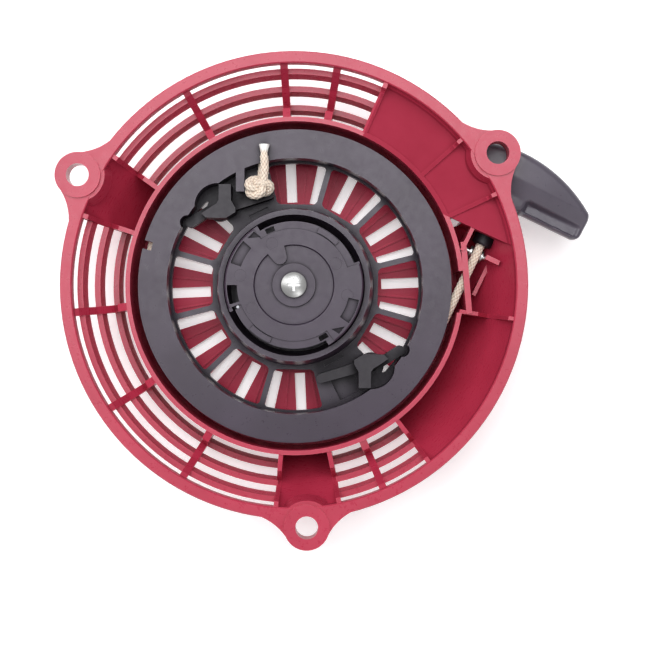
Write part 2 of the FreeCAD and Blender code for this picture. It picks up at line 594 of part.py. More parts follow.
def rope_reel():
    """Reel: rope groove outside, web with windows, hub cup for the spring."""
    body = new_body("ReelBody")
    revolved(body, [
        ("post_radius + running_gap", "sleeve_top"), ("post_radius + running_gap", "spring_roof"),
        ("hub_inner", "spring_roof"), ("hub_inner", "hub_front"), ("hub_outer", "hub_front"),
        ("hub_outer", "web_bottom"), ("reel_outer", "web_bottom"),
        ("reel_outer", "reel_face - reel_flange - groove_width"),
        ("reel_core", "reel_face - reel_flange - groove_width"),
        ("reel_core", "reel_face - reel_flange"), ("reel_outer", "reel_face - reel_flange"),
        ("reel_outer", "reel_face"), ("reel_rim_inner", "reel_face"),
        ("reel_rim_inner", "web_top"), ("hub_outer + 0.7", "web_top"),
        ("hub_lip_outer", "hub_top"), ("hub_lip_inner", "hub_top"),
        ("hub_lip_inner - 1.6", "hub_floor"), ("sleeve_outer", "hub_floor"),
        ("sleeve_outer", "sleeve_top")])
    windows = body_sketch(body, "XY_Plane", "Windows")
    bind(windows, AttachmentOffset__Base__z="web_top + 1")
    half = "(window_step / 2)"
    for flip in ("", "-"):
        inner = f"(window_inner * sin({half}) - spoke / 2 / cos({half}))"
        outer = f"(window_outer * sin({half}) - spoke / 2 / cos({half}))"
        near, far = f"window_inner * cos({half})", f"window_outer * cos({half})"
        turn = "-1" if flip else "1"
        corner = "window_corner"
        lean = f"{corner} * sin({half})"
        back = f"{corner} * cos({half})"
        outline(windows, [
            (f"{turn} * {near}", f"-{turn} * ({inner} - {corner})"),
            (f"{turn} * ({near} + {back})", f"-{turn} * ({inner} + {lean})", corner),
            (f"{turn} * ({far} - window_tip)", f"-{turn} * ({outer} - window_tip * sin({half}))"),
            (f"{turn} * ({far} + 0.5)", f"-{turn} * ({outer} - window_tip)", "window_tip * 1.2"),
            (f"{turn} * ({far} + 0.5)", f"{turn} * ({outer} - window_tip)", "window_outer"),
            (f"{turn} * ({far} - window_tip)", f"{turn} * ({outer} - window_tip * sin({half}))",
             "window_tip * 1.2"),
            (f"{turn} * ({near} + {back})", f"{turn} * ({inner} + {lean})"),
            (f"{turn} * {near}", f"{turn} * ({inner} - {corner})", corner)])
    pocket = body.newObject("PartDesign::Pocket", "WindowPocket")
    pocket.Profile = windows
    bind(pocket, Length="web_top - web_bottom + 3")
    pattern = body.newObject("PartDesign::PolarPattern", "WindowPattern")
    pattern.Originals = [pocket]
    pattern.Axis = (windows, ["N_Axis"])
    pattern.Angle = 120
    pattern.Occurrences = 5
    body.Tip = pattern
    bosses = body_sketch(body, "XY_Plane", "PawlBosses")
    bind(bosses, AttachmentOffset__Base__z="web_bottom")
    journals = ("(pawl_at - reel_turn)", "(pawl_at - reel_turn + 180)")
    for turn in journals:
        ring(bosses, f"pawl_circle * cos({turn})", f"pawl_circle * sin({turn})", "pawl_boss")
    pad = body.newObject("PartDesign::Pad", "PawlBossPad")
    pad.Profile = bosses
    bind(pad, Length="web_top - web_bottom")
    holes = body_sketch(body, "XY_Plane", "PawlHoles")
    bind(holes, AttachmentOffset__Base__z="web_top + 1")
    for turn in journals:
        ring(holes, f"pawl_circle * cos({turn})", f"pawl_circle * sin({turn})",
             "pawl_journal + running_gap")
    drilled = body.newObject("PartDesign::Pocket", "PawlHolePocket")
    drilled.Profile = holes
    bind(drilled, Length="web_top - web_bottom + 3")
    body.Tip = drilled
    stand(body, turn="reel_turn")
    tools = []
    for number, flip in ((1, "0"), (2, "180")):
        tools.append(rod(f"StubRelief{number}", "pawl_reach", "web_top", "reel_face + 1",
                         f"pawl_circle * cos(pawl_at + {flip})",
                         f"pawl_circle * sin(pawl_at + {flip})"))
        ahead = f"(pawl_at + relief_ahead + {flip})"
        tools.append(rod(f"PawlRelief{number}", "relief_radius", "web_top", "reel_face + 1",
                         f"relief_circle * cos{ahead}", f"relief_circle * sin{ahead}"))
    tongue = block("KnotTongue", ("tongue_left", "tongue_near", "pawl_arm_top + 0.6"),
                   ("tongue_right", "tongue_far", "reel_face"))
    tools.append(radial_rod("RopePassage", "rope + 0.15", "48", "reel_core + 1"))
    for number, turn in ((1, "116"), (2, "297.5")):
        tools.append(block(f"HubSlot{number}",
                           ("hub_outer + 1.6", "-hub_slot_half", "web_top - floor_recess"),
                           ("hub_outer + 3.2", "hub_slot_half", "web_top + 1"), turn))
    tools.append(block("FloorDish", ("pawl_circle - 5", "-5", "web_top - floor_recess"),
                       ("reel_rim_inner - 1.7", "5.5", "web_top + 1"), "dish_at"))
    tools.append(block("RimNotch", ("reel_outer - 3.7", "-notch_half", "reel_face - notch_deep"),
                       ("reel_outer + 1", "notch_half", "reel_face + 1"), "notch_at"))
    return keep(cut("Reel", fuse("ReelSolid", [body, tongue]), fuse("ReelTools", tools)), "rope_reel")


def radial_rod(name, radius, start, end):
    """Cylinder along a radius of the reel, where the rope passes through its rim."""
    bar = doc.addObject("Part::Cylinder", name)
    bind(bar, Radius=radius, Height=f"{end} - ({start})")
    spin = FreeCAD.Rotation(UP, value("knot_at"))
    tip = FreeCAD.Rotation(FreeCAD.Vector(0, 1, 0), 90)
    bar.Placement = FreeCAD.Placement(FreeCAD.Vector(), spin * tip)
    bind(bar, Placement__Base__x=f"({start}) * cos(knot_at)",
         Placement__Base__y=f"({start}) * sin(knot_at)", Placement__Base__z="knot_entry")
    return bar


def pawl(number):
    """Two-armed pawl on its own journal, arms low and the pivot block high."""
    body = new_body(f"pawl_{number}")
    padded(body, "Arms", [
        ("-13.1", "-5.8", "2.2"), ("-5", "-2.9"), ("5", "-2.9"), ("22.8", "-1.5"),
        ("22.8", "2.4", "2.0"), ("5", "1.7"), ("-5", "1.5"), ("-14.5", "-1.8")],
        "pawl_bottom", "pawl_arm_top")
    padded(body, "Block", [
        ("-7.4", "-1.4"), ("-6.2", "-3.4"), ("-1.2", "-4.9"), ("2.4", "-5.6"), ("6.8", "-4.2"),
        ("7.2", "-2.4"), ("6.1", "1.1"), ("7.6", "7.9"), ("2.6", "9.0"), ("1.0", "2.4"), ("-0.4", "1.2"),
        ("-3.8", "0")], "pawl_bottom", "pawl_top")
    pin = body_sketch(body, "XY_Plane", "Journal")
    bind(pin, AttachmentOffset__Base__z="web_bottom + 0.4")
    ring(pin, "0", "0", "pawl_journal")
    pad = body.newObject("PartDesign::Pad", "JournalPad")
    pad.Profile = pin
    bind(pad, Length="pawl_bottom - web_bottom")
    turn = f"pawl_at + {180 * (number - 1)}"
    stand(body, f"pawl_circle * cos({turn})", f"pawl_circle * sin({turn})", "0",
          f"pawl_turn + {180 * (number - 1)}")
    return keep(body, f"pawl_{number}")


def recoil_spring():
    """Flat steel strip wound as a spiral, hooked on the post and on the reel's cup."""
    turns = (value("spring_outer") - value("spring_inner")) / value("spring_pitch")
    steps = 16
    outside, inside = [], []
    for step in range(int(turns * steps) + 1):
        angle = 2 * math.pi * step / steps
        radius = value("spring_inner") + value("spring_pitch") * step / steps
        for side, offset in ((inside, 0), (outside, value("spring_leaf"))):
            reach = radius + offset
            side.append(FreeCAD.Vector(reach * math.cos(angle), reach * math.sin(angle), 0))
    edges = []
    for side in (inside, outside):
        curve = Part.BSplineCurve()
        curve.interpolate(side)
        edges.append(curve.toShape())
    edges.append(Part.makeLine(inside[0], outside[0]))
    edges.append(Part.makeLine(inside[-1], outside[-1]))
    face = Part.Face(Part.Wire(Part.__sortEdges__(edges)))
    spring = doc.addObject("Part::Feature", "RecoilSpring")
    spring.Shape = face.extrude(UP * (value("spring_high") - value("spring_low")))
    spring.Placement = FreeCAD.Placement(
        FreeCAD.Vector(0, 0, value("spring_low")), FreeCAD.Rotation())
    return keep(spring, "recoil_spring")


# ---------------------------------------------------------------- guide

# Round ejector marks on the guide: angle and radius of each.
EJECTOR_MARKS = [(27, 19.5), (118, 19.4), (170, 22.6), (209, 19.9), (349, 22.6)]


def ratchet_guide():
    """Disc that turns a little on the collar and swings the pawls."""
    body = new_body("GuideBody")
    revolved(body, [
        ("collar_outer + running_gap", "guide_bottom"), ("guide_outer - 2", "guide_bottom"),
        ("guide_outer", "guide_bottom + 1.5"), ("guide_outer", "guide_top - 0.6"),
        ("guide_outer - 0.6", "guide_top"), ("guide_dish + 0.5", "guide_top"),
        ("guide_dish", "guide_dish_top"), ("collar_outer + running_gap", "guide_dish_top")])
    body.Label = "GuideTurned"
    deep = "guide_top - 1.5"
    over = "guide_top + 1"
    tools = [
        sector("EdgeGap1", "guide_waist", "guide_outer + 1", "guide_bottom - 1", over, "20", "122"),
        sector("EdgeGap2", "guide_waist", "guide_outer + 1", "guide_bottom - 1", over, "203", "300"),
        sector("Band1", "guide_band", "guide_outer + 1", "guide_top - 0.5", over, "18", "126"),
        sector("Band2", "guide_band", "guide_outer + 1", "guide_top - 0.5", over, "200", "306"),
        sector("LongPocket", "guide_band + 0.4", "guide_outer - 1", "guide_bottom - 1", over,
               "180", "197"),
        sector("WirePocket", "guide_band + 0.8", "guide_outer - 1.4", "guide_bottom - 1", over,
               "199.5", "203")]
    for number, turn in enumerate((0, 186), start=1):
        tools.append(sector(f"DarkSlot{number}", "guide_band + 0.5", "guide_waist - 0.5",
                            "guide_bottom - 1", over, f"109 + {turn}", f"118 + {turn}"))
        tools.append(sector(f"WidePocket{number}", "guide_band", "guide_outer - 1", deep, over,
                            f"139 + {turn}", f"161 + {turn}"))
        tools.append(wedge(f"Triangle{number}", f"130 + {turn}", deep))
    for number, (turn, radius) in enumerate(EJECTOR_MARKS, start=1):
        tools.append(rod(f"EjectorMark{number}", "mark_radius", "guide_top - mark_deep", over,
                         f"{radius} * cos({turn})", f"{radius} * sin({turn})"))
    raised = [sector("RaisedBar1", "guide_band + 0.6", "guide_waist - 0.4", "guide_dish_top",
                     "guide_top + bar_rise", "44", "66"),
              sector("RaisedBar2", "guide_band + 0.6", "guide_waist - 0.4", "guide_dish_top",
                     "guide_top + bar_rise", "225", "247"),
              sector("Tongue", "tongue_circle - 0.3", "guide_dish + 1", "guide_bottom + 0.5", "guide_top",
                     "104", "130"),
              rod("TongueEnd", "2.9", "guide_bottom + 0.5", "guide_top",
                  "tongue_circle * cos(117)", "tongue_circle * sin(117)")]
    disc = cut("GuideDisc", body, fuse("GuideTools", tools))
    return keep(fuse("Guide", [disc] + raised), "ratchet_guide")


def wedge(name, turn, low):
    """Three-sided pocket near the guide's edge."""
    sketch = doc.addObject("Sketcher::SketchObject", name + "Outline")
    outline(sketch, [("guide_band + 0.6", "-2.4"), ("guide_outer - 1.2", "-1.6"),
                     ("guide_outer - 1.6", "2.4")])
    prism = doc.addObject("Part::Extrusion", name)
    prism.Base = sketch
    prism.DirMode = "Custom"
    prism.Dir = UP
    prism.Solid = True
    bind(prism, LengthFwd="4")
    return stand(prism, "0", "0", low, turn)


def turned_node(label, corners):
    body = new_body(label)
    revolved(body, corners)
    return keep(body, label)


def guide_collar():
    return turned_node("guide_collar", [
        ("collar_inner", "post_top"), ("collar_outer", "post_top"),
        ("collar_outer", "washer_low"), ("collar_inner", "washer_low")])


def retaining_washer():
    return turned_node("retaining_washer", [
        ("collar_inner", "washer_low"), ("washer_outer", "washer_low"),
        ("washer_outer", "washer_low + washer_thick"),
        ("collar_inner", "washer_low + washer_thick")])


def setting_screw():
    seat = "washer_low + washer_thick"
    body = new_body("setting_screw")
    revolved(body, [
        ("0", "screw_end"), ("screw_shank - 0.8", "screw_end"), ("screw_shank", "screw_end + 1"),
        ("screw_shank", seat), ("screw_head", seat), ("screw_head", f"{seat} + 1.6"),
        ("0", f"{seat} + screw_head_high", "screw_head * 2")])
    cross = body_sketch(body, "XY_Plane", "CrossRecess")
    bind(cross, AttachmentOffset__Base__z=f"{seat} + screw_head_high + 0.5")
    outline(cross, [("-2.6", "-0.5"), ("-0.5", "-0.5"), ("-0.5", "-2.6"), ("0.5", "-2.6"),
                    ("0.5", "-0.5"), ("2.6", "-0.5"), ("2.6", "0.5"), ("0.5", "0.5"),
                    ("0.5", "2.6"), ("-0.5", "2.6"), ("-0.5", "0.5"), ("-2.6", "0.5")])
    recess = body.newObject("PartDesign::Pocket", "CrossPocket")
    recess.Profile = cross
    bind(recess, Length="2.4")
    return keep(body, "setting_screw")


def friction_spring():
    """Open wire loop that drags on the post and holds the guide back."""
    loop = "(post_radius + friction_wire + 0.1)"
    radius, reach, level = value(loop), value("friction_reach"), value("friction_level")
    start, end = math.radians(232), math.radians(198 + 360)

    def at(distance, angle):
        return FreeCAD.Vector(distance * math.cos(angle), distance * math.sin(angle), level)

    half = (start + end) / 2
    arc = Part.Arc(at(radius, start), at(radius, half), at(radius, end)).toShape()
    legs = [Part.makeLine(at(reach, start - 0.06), at(radius, start)),
            Part.makeLine(at(radius, end), at(reach, end + 0.06))]
    tip = at(reach, end + 0.06)
    legs.append(Part.makeLine(tip, tip + UP * value("friction_tip")))
    path = Part.Wire([legs[0], arc, legs[1], legs[2]])
    direction = at(radius, start) - at(reach, start - 0.06)
    section = Part.Wire(Part.makeCircle(value("friction_wire"), at(reach, start - 0.06), direction))
    spring = doc.addObject("Part::Feature", "FrictionSpring")
    spring.Shape = path.makePipeShell([section], True, False, 2)
    return keep(spring, "friction_spring")


# ---------------------------------------------------------------- rope and grip

def rope_wound():
    """Rope coiled in the groove: three turns deep against the core, two over them."""
    pitch = "(groove_width / 3)"
    low = "(reel_face - reel_flange - groove_width)"
    body = new_body("RopeCoil")
    outer = "(rope_offset + rope - 1.1)"
    revolved(body, [
        ("reel_core + 0.05", f"{low} + 0.1"), (outer, f"{low} + 0.1"),
        (outer, f"{low} + {pitch}", "rope + 0.3"), (outer, f"{low} + 2 * {pitch}", "rope + 0.3"),
        (outer, f"{low} + 3 * {pitch} - 0.1", "rope + 0.3"),
        ("reel_core + 0.05", f"{low} + 3 * {pitch} - 0.1")])
    return keep(cut("Coil", body, lying_rod("CoilGroove", "rope", "0", "40")), "rope_wound")


def rope_run():
    """Straight rope from the coil over the roller and through the bush."""
    return keep(lying_rod("RopeRun", "rope", "0", "60"), "rope_run")


def rope_lead():
    """Rope between the bush and the knot in the grip."""
    return keep(lying_rod("RopeLead", "rope", "60", "well_floor + 1.8"), "rope_lead")


def reel_knot():
    """Knot that stops the rope in the reel, with its fused tail over the rim."""
    knot = doc.addObject("Part::Ellipsoid", "KnotBall")
    bind(knot, Radius1="4.4", Radius2="6.2", Radius3="4.6")
    stand(knot, "knot_x", "knot_y", "knot_z", "knot_turn")
    tail = doc.addObject("Part::Cylinder", "KnotTail")
    bind(tail, Radius="rope", Height="tail_length")
    tail.Placement = FreeCAD.Placement(FreeCAD.Vector(),
                                       FreeCAD.Rotation(FreeCAD.Vector(1, 0, 0), -90))
    bind(tail, Placement__Base__x="tail_x", Placement__Base__y="tail_y",
         Placement__Base__z="tail_z")
    entry = radial_rod("KnotEntry", "rope", "46", "reel_core")
    return keep(fuse("Knot", [knot, tail, entry]), "reel_knot")


def pull_grip():
    """T-shaped handle, drawn in the rope's frame: along the rope, then across."""
    body = new_body("GripBody")
    sketch = body_sketch(body, "XY_Plane", "GripOutline")
    bind(sketch, AttachmentOffset__Base__z="rope_level - grip_middle - 1")
    centre = "-rope_offset"
    outline(sketch, [
        ("grip_neck", f"{centre} - grip_neck_half + 1"), ("grip_neck", f"{centre} + grip_neck_half - 1"),
        ("grip_near", f"{centre} + grip_neck_half + 1", "-12"),
        ("grip_near", f"{centre} + grip_half - grip_corner"),
        ("grip_near + grip_corner", f"{centre} + grip_half", "grip_corner"),
        ("grip_near + 12.5", f"{centre} + grip_half"),
        ("grip_near + 12.5", f"{centre} - grip_half", "-grip_crown"),
        ("grip_near + grip_corner", f"{centre} - grip_half"),
        ("grip_near", f"{centre} - grip_half + grip_corner", "grip_corner"),
        ("grip_near", f"{centre} - grip_neck_half - 1")])
    pad = body.newObject("PartDesign::Pad", "GripPad")
    pad.Profile = sketch
    bind(pad, Length="2 * grip_middle + 2")
    stand(body, turn="rope_angle")
    taper = upright_sketch("GripTaper", [
        (f"{centre} - grip_half - 1", "rope_level - grip_end"),
        (f"{centre} - grip_neck_half", "rope_level - grip_middle"),
        (f"{centre} + grip_neck_half", "rope_level - grip_middle"),
        (f"{centre} + grip_half + 1", "rope_level - grip_end"),
        (f"{centre} + grip_half + 1", "rope_level + grip_end"),
        (f"{centre} + grip_neck_half", "rope_level + grip_middle"),
        (f"{centre} - grip_neck_half", "rope_level + grip_middle"),
        (f"{centre} - grip_half - 1", "rope_level + grip_end")])
    lens = thin_rib("GripLens", taper, "4 * grip_far", "rope_angle + 90")
    tools = [lying_rod("GripRopeHole", "rope + hole_gap", "grip_neck - 1", "grip_far"),
             lying_rod("GripWell", "knot_well", "well_floor", "grip_far + 4"),
             block("NeckTop", ("grip_neck - 1", f"{centre} - 9", "rope_level + grip_neck_half"),
                   ("grip_near - 0.5", f"{centre} + 9", "0"), "rope_angle"),
             block("NeckUnder", ("grip_neck - 1", f"{centre} - 9", "front"),
                   ("grip_near - 0.5", f"{centre} + 9", "rope_level - grip_neck_half"),
                   "rope_angle")]
    return keep(cut("Grip", common("GripForm", [body, lens]), fuse("GripTools", tools)), "pull_grip")


def grip_knot_washer():
    plate = lying_rod("KnotWasherDisc", "knot_well - 0.4", "well_floor", "well_floor + 1.2")
    hole = lying_rod("KnotWasherHole", "rope + hole_gap", "well_floor - 1", "well_floor + 3")
    return keep(cut("KnotWasher", plate, hole), "grip_knot_washer")


def grip_knot():
    knot = doc.addObject("Part::Ellipsoid", "GripKnotBall")
    bind(knot, Radius1="4.6", Radius2="5.2", Radius3="4.8")
    spin = FreeCAD.Rotation(UP, value("rope_angle"))
    knot.Placement = FreeCAD.Placement(FreeCAD.Vector(), spin)
    along = "(well_floor + 1.2 + 5.2 + 0.05)"
    bind(knot, Placement__Base__x=f"{along} * cos(rope_angle) + rope_offset * sin(rope_angle)",
         Placement__Base__y=f"{along} * sin(rope_angle) - rope_offset * cos(rope_angle)",
         Placement__Base__z="rope_level")
    return keep(knot, "grip_knot")


def check(thing):
    """Stop if an object of the document failed to build."""
    if "Invalid" in thing.State or "Error" in thing.State:
        raise RuntimeError(f"{thing.Name} failed: {thing.State}")


def main():
    fill_sheet()
    recoil_case()
    rope_guide_bush()
    rope_roller()
    roller_pin()
    rope_reel()
    pawl(1)
    pawl(2)
    recoil_spring()
    ratchet_guide()
    guide_collar()
    retaining_washer()
    setting_screw()
    friction_spring()
    rope_wound()
    rope_run()
    rope_lead()
    reel_knot()
    pull_grip()
    grip_knot_washer()
    grip_knot()
    doc.recompute()
    for thing in doc.Objects:
        check(thing)
    os.makedirs("parts", exist_ok=True)
    for node in nodes:
        shape = node.Shape
        if shape.isNull() or not shape.isValid():
            raise RuntimeError(f"{node.Label} has no valid shape")
        print(f"{node.Label}: {len(shape.Solids)} solid, {shape.Volume / 1000:.2f} cm3")
    for node in nodes:
        node.Shape.exportStep(f"parts/{node.Label}.step")


main()
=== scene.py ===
import json
import math

import bmesh
import bpy
import numpy as np
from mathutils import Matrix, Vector


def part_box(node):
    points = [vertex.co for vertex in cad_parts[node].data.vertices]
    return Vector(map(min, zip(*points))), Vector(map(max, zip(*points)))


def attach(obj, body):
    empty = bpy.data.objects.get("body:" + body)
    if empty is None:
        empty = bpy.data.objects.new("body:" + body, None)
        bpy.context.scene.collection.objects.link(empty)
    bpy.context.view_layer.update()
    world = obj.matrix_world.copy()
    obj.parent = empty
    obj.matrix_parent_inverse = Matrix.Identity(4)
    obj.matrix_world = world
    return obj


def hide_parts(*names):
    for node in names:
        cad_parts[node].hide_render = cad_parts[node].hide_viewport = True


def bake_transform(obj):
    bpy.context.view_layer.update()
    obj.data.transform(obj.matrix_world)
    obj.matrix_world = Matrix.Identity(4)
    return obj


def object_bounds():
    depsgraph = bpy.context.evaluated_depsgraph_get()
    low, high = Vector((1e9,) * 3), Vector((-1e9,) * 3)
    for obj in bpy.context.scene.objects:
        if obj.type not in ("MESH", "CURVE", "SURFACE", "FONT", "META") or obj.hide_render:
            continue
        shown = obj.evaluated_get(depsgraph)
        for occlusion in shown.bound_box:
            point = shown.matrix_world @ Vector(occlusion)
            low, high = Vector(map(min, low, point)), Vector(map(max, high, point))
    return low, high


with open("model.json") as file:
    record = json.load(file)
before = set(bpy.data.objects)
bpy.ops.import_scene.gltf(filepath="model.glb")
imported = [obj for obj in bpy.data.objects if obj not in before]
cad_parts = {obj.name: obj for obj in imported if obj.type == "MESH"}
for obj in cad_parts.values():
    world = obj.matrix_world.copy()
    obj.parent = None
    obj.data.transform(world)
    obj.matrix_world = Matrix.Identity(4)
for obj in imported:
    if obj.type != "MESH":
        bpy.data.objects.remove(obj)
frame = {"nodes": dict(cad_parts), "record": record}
cad_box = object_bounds()

MM = 0.001
UP = Vector((0, 0, 1))


# ---------------------------------------------------------------- places read from the frame

def joint(name):
    """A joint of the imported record, by name."""
    return next(j for j in frame["record"]["behaviour"]["joints"] if j["name"] == name)


def middle(node):
    """Centre of a node's box at rest."""
    low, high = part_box(node)
    return (low + high) / 2


PULL = Vector(joint("handle_pull")["axis"])          # along the rope, out of the case
ACROSS = UP.cross(PULL)                              # to the rope's left
ROPE_LEVEL = middle("rope_run").z
ROPE_FOOT = middle("rope_lead") - PULL * middle("rope_lead").dot(PULL)
ROPE_RADIUS = (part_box("rope_run")[1].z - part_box("rope_run")[0].z) / 2
FRONT = cad_box[0].z
PLATE_LEVEL = FRONT + 6 * MM                         # above the front plate and its ribs


def on_rope(along, left=0.0, up=0.0):
    """Point at a distance along the rope from its foot, to its left and above it."""
    return ROPE_FOOT + PULL * along + ACROSS * left + UP * up


# ---------------------------------------------------------------- braided rope

STRANDS = 6
LAY = 2.3 * MM               # distance along the rope from one crossing to the next
RELIEF = 0.55 * MM           # depth of the valleys between strands
KNOT_PHASES = (-140, 168, 26)


def along_curve(points, step):
    """Smooth curve through the points (Catmull-Rom), cut into equal steps."""
    points = np.array([tuple(p) for p in points], float)
    ends = np.vstack([2 * points[0] - points[1], points, 2 * points[-1] - points[-2]])
    spans = []
    for a, b, c, d in zip(ends, ends[1:], ends[2:], ends[3:]):
        count = max(4, int(np.linalg.norm(c - b) / step * 2))
        t = np.linspace(0, 1, count, endpoint=False)[:, None]
        spans.append(0.5 * (2 * b + (c - a) * t + (2 * a - 5 * b + 4 * c - d) * t ** 2
                            + (3 * b - a - 3 * c + d) * t ** 3))
    fine = np.vstack(spans + [points[-1:]])
    travelled = np.concatenate([[0], np.cumsum(np.linalg.norm(np.diff(fine, axis=0), axis=1))])
    even = np.linspace(0, travelled[-1], max(2, int(travelled[-1] / step)) + 1)
    return np.stack([np.interp(even, travelled, fine[:, k]) for k in range(3)], axis=1), even


def frames_along(centres):
    """Two unit vectors across the curve at each point, carried along without twist."""
    ahead = np.gradient(centres, axis=0)
    ahead /= np.linalg.norm(ahead, axis=1)[:, None]
    first = np.cross(ahead[0], (0.0, 0.0, 1.0))
    if np.linalg.norm(first) < 0.2:
        first = np.cross(ahead[0], (1.0, 0.0, 0.0))
    sides = [first / np.linalg.norm(first)]
    for direction in ahead[1:]:
        side = sides[-1] - direction * np.dot(sides[-1], direction)
        sides.append(side / np.linalg.norm(side))
    sides = np.array(sides)
    return sides, np.cross(ahead, sides)


def weave(turn, distance):
    """Height from 0 to 1 of a braid: the upper strand's rounded back in each crossing."""
    first = STRANDS * turn / (2 * np.pi) + distance / LAY
    second = STRANDS * turn / (2 * np.pi) - distance / LAY
    across_1, across_2 = first % 1.0, second % 1.0
    upper = (np.floor(first) + np.floor(second)) % 2 < 1
    over, under = np.where(upper, across_1, across_2), np.where(upper, across_2, across_1)
    return np.sqrt(np.sin(np.pi * over)) * (0.62 + 0.38 * np.sin(np.pi * under))


def rope_mesh(name, centres, distance, radius, around=48, swell=None, fused=None):
    """Closed tube whose surface carries the braid, as 'crown' from 0 to 1; 'fused' is melted."""
    side, rise = frames_along(centres)
    count = len(centres)
    turn = np.linspace(0, 2 * np.pi, around, endpoint=False)
    melt = np.zeros(count) if fused is None else fused
    width = np.ones(count) if swell is None else swell
    height = weave(turn[None, :], distance[:, None]) - 1.0
    reach = (radius + RELIEF * height * (1 - 0.75 * melt)[:, None]) * width[:, None]
    ring = (centres[:, None, :] + reach[:, :, None]
            * (side[:, None, :] * np.cos(turn)[None, :, None]
               + rise[:, None, :] * np.sin(turn)[None, :, None]))
    points = np.vstack([ring.reshape(-1, 3), centres[:1], centres[-1:]])
    row = np.arange(count - 1)[:, None] * around
    near = np.arange(around)[None, :]
    far = (near + 1) % around
    quads = np.stack([row + near, row + far, row + around + far, row + around + near], axis=2)
    faces = quads.reshape(-1, 4).tolist()
    last = (count - 1) * around
    for k in range(around):
        following = (k + 1) % around
        faces.append((following, k, count * around))
        faces.append((last + k, last + following, count * around + 1))
    mesh = bpy.data.meshes.new(name)
    mesh.from_pydata(points.tolist(), [], faces)
    mesh.polygons.foreach_set("use_smooth", [True] * len(faces))
    crown = (height + 1.0).ravel()
    for label, marks in (("fused", np.repeat(melt, around)), ("crown", crown)):
        mark = mesh.attributes.new(label, "FLOAT", "POINT")
        mark.data.foreach_set("value", np.append(marks, (marks[0], marks[-1])).astype(np.float32))
    mesh.update()
    piece = bpy.data.objects.new(name, mesh)
    bpy.context.scene.collection.objects.link(piece)
    return piece


def overhand(centre, across, up, normal, ring, tube):
    """Centre line of an overhand knot: part of a torus knot, between two phases in degrees."""
    points = []
    for phase in np.radians(np.linspace(*KNOT_PHASES)):
        reach = ring + tube * math.cos(3 * phase)
        points.append(centre + across * reach * math.cos(2 * phase)
                      + up * reach * math.sin(2 * phase) + normal * tube * math.sin(3 * phase))
    return points


# The coil in the reel's groove. Each lap keeps its radius and level, and slides to the next one
# in its last sixth.
INNER_TURN = 60.3 * MM
OUTER_TURN = 63.9 * MM
ENTRY_RADIUS = 56.5 * MM
COIL_PITCH = 4.05 * MM
OUTER_RISE = 2.0 * MM
INNER_LAPS = 3
LAPS = 5
SLIDE = 60


def coil_place(lap, slide):
    """Radius and height above the groove's floor, some way into the slide that ends a lap."""
    if lap < INNER_LAPS - 1:
        return INNER_TURN, COIL_PITCH * (INNER_LAPS - 1 - lap - slide)
    if lap == INNER_LAPS - 1:
        return INNER_TURN + (OUTER_TURN - INNER_TURN) * slide, OUTER_RISE * slide
    climbed = lap - INNER_LAPS + (slide if lap == INNER_LAPS else 0)
    return OUTER_TURN, OUTER_RISE + COIL_PITCH * climbed


def coil_points():
    """Rope in the reel's groove: three turns against the core, two over them, then away."""
    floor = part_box("rope_wound")[0].z + 1.9 * MM
    start = math.atan2(middle("reel_knot").y, middle("reel_knot").x)
    total = math.degrees(math.atan2(ROPE_FOOT.y, ROPE_FOOT.x) - start) + LAPS * 360
    entry = 24
    points = []
    for step in range(0, int(total) + 1, 6):
        lap, part = divmod(step, 360)
        radius, rise = coil_place(lap, max(0.0, (part - 360 + SLIDE) / SLIDE))
        level = floor + rise
        if step < entry:
            radius = ENTRY_RADIUS + (INNER_TURN - ENTRY_RADIUS) * step / entry
        left_over = total - step
        if left_over < SLIDE:
            level += (ROPE_LEVEL - level) * (1 - left_over / SLIDE)
        angle = start + math.radians(step)
        points.append(Vector((radius * math.cos(angle), radius * math.sin(angle), level)))
    points.append(Vector((ROPE_FOOT.x, ROPE_FOOT.y, ROPE_LEVEL)))
    return points


# Distance between the rings of the rope's mesh, and their number where it stretches.
BRAID_STEP = 0.16 * MM
COIL_STEP = 0.42 * MM
LEAD_RINGS = 2600
# Along the rope: just inside the bush's mouth, and the floor of the well in the grip.
BUSH_END = 59.4 * MM
WELL_FLOOR = 80.5 * MM


def place_rope(piece, body, node):
    """Finish a length of rope, let it ride on a body and let it replace its CAD node."""
    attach(finish_piece(piece, "rope_fibre"), body)
    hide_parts(node)


def rope_coil():
    """Five turns in the reel's groove."""
    centres, distance = along_curve(coil_points(), COIL_STEP)
    coil = rope_mesh("rope_coil", centres, distance, ROPE_RADIUS, around=24)
    place_rope(coil, "reel", "rope_wound")


def rope_through_case():
    """Straight run from the coil over the roller and through the bush."""
    route = [on_rope(-4 * MM), on_rope(20 * MM), on_rope(BUSH_END)]
    centres, distance = along_curve(route, BRAID_STEP)
    run = rope_mesh("rope_through_case", centres, distance, ROPE_RADIUS - 0.05 * MM)
    place_rope(run, "case", "rope_run")


def rope_to_grip():
    """Length between bush and grip that lengthens as the handle is pulled.

    The points' places are eased so that the blend's own easing leaves an even stretch, and the
    braid has its true lay when the rope is fully out.
    """
    pulled = joint("handle_pull")["range_m"][1]
    start, end = BUSH_END - 1.2 * MM, WELL_FLOOR - 1.0 * MM
    share = np.linspace(0, 1, LEAD_RINGS)
    eased = 0.5 - np.sin(np.arcsin(1 - 2 * share) / 3)
    centres = np.array([tuple(on_rope(start + (end - start) * e)) for e in eased])
    lead = rope_mesh("rope_to_grip", centres, share * pulled, ROPE_RADIUS - 0.12 * MM, around=24)
    finish_piece(lead, "rope_fibre")
    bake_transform(lead)
    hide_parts("rope_lead")


